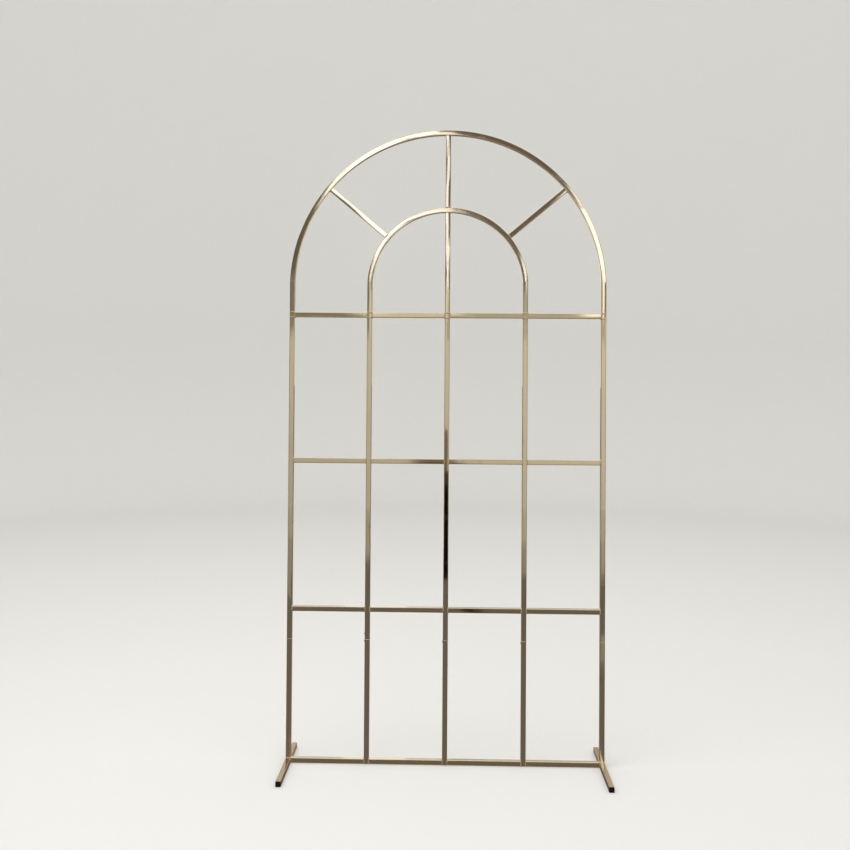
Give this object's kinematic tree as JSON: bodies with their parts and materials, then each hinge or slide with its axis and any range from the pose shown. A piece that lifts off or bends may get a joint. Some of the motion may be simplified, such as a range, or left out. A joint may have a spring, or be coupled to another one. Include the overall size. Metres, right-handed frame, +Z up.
{
  "type": "wedding arch",
  "caption": "Flat free-standing wedding arch of bright gold square tube: concentric bows with spokes over a grid of posts and rails, on two feet.",
  "frame": {"origin": "on the floor, at the middle of the feet's footprint, in the arch's plane of symmetry", "axes": "+Z up, +X to the right seen from the front, -Y out of the front; the flat frame stands 35 mm behind the origin, because the feet are longer at the front"},
  "size_m": [1, 0.3148, 1.9999],
  "materials": {
    "gold_plate": "bright gold plating on welded steel tube",
    "plug_plastic": "black moulded plastic"
  },
  "bodies": {
    "root": {"outer_bow": "gold_plate", "inner_bow": "gold_plate", "left_spoke": "gold_plate", "right_spoke": "gold_plate", "crown_post": "gold_plate", "left_outer_arch_post": "gold_plate", "left_inner_arch_post": "gold_plate", "centre_arch_post": "gold_plate", "right_inner_arch_post": "gold_plate", "right_outer_arch_post": "gold_plate", "left_outer_post": "gold_plate", "left_inner_post": "gold_plate", "centre_post": "gold_plate", "right_inner_post": "gold_plate", "right_outer_post": "gold_plate", "top_rail_1": "gold_plate", "top_rail_2": "gold_plate", "top_rail_3": "gold_plate", "top_rail_4": "gold_plate", "middle_rail_1": "gold_plate", "middle_rail_2": "gold_plate", "middle_rail_3": "gold_plate", "middle_rail_4": "gold_plate", "low_rail_1": "gold_plate", "low_rail_2": "gold_plate", "low_rail_3": "gold_plate", "low_rail_4": "gold_plate", "bottom_rail_1": "gold_plate", "bottom_rail_2": "gold_plate", "bottom_rail_3": "gold_plate", "bottom_rail_4": "gold_plate", "left_outer_socket": "gold_plate", "left_inner_socket": "gold_plate", "centre_socket": "gold_plate", "right_inner_socket": "gold_plate", "right_outer_socket": "gold_plate", "left_foot": "gold_plate", "right_foot": "gold_plate", "left_front_plug": "plug_plastic", "left_rear_plug": "plug_plastic", "right_front_plug": "plug_plastic", "right_rear_plug": "plug_plastic"}
  },
  "joints": []
}
